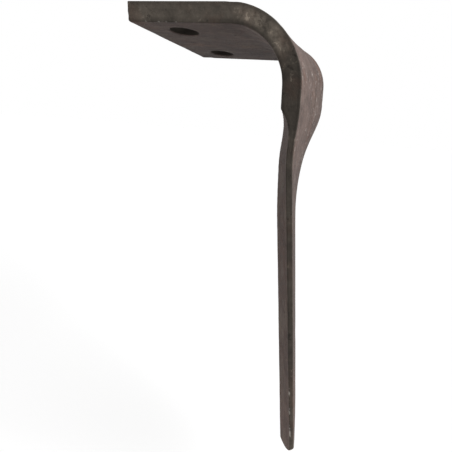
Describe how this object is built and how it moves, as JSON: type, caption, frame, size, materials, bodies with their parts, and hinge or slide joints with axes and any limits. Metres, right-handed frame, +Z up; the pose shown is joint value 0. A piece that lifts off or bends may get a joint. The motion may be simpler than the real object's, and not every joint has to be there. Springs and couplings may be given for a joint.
{
  "type": "power harrow tine",
  "caption": "Forged power harrow tine: a flat bolting flange, a tapering bend and a narrow twisted blade with a ground leading bevel and rounded tip.",
  "frame": {"origin": "midway between the two bolt holes, on the top face of the flange", "axes": "+Z up and square to the flange, +X from the flange's free end to the blade, -Y towards the leading edge; the blade hangs down"},
  "size_m": [0.1281, 0.1006, 0.303],
  "materials": {
    "forged_steel": "dark brown-grey mill scale as forged, dusty on the outer face, with bright wear on the ground leading edge"
  },
  "bodies": {
    "root": {"tine": "forged_steel"}
  },
  "joints": []
}
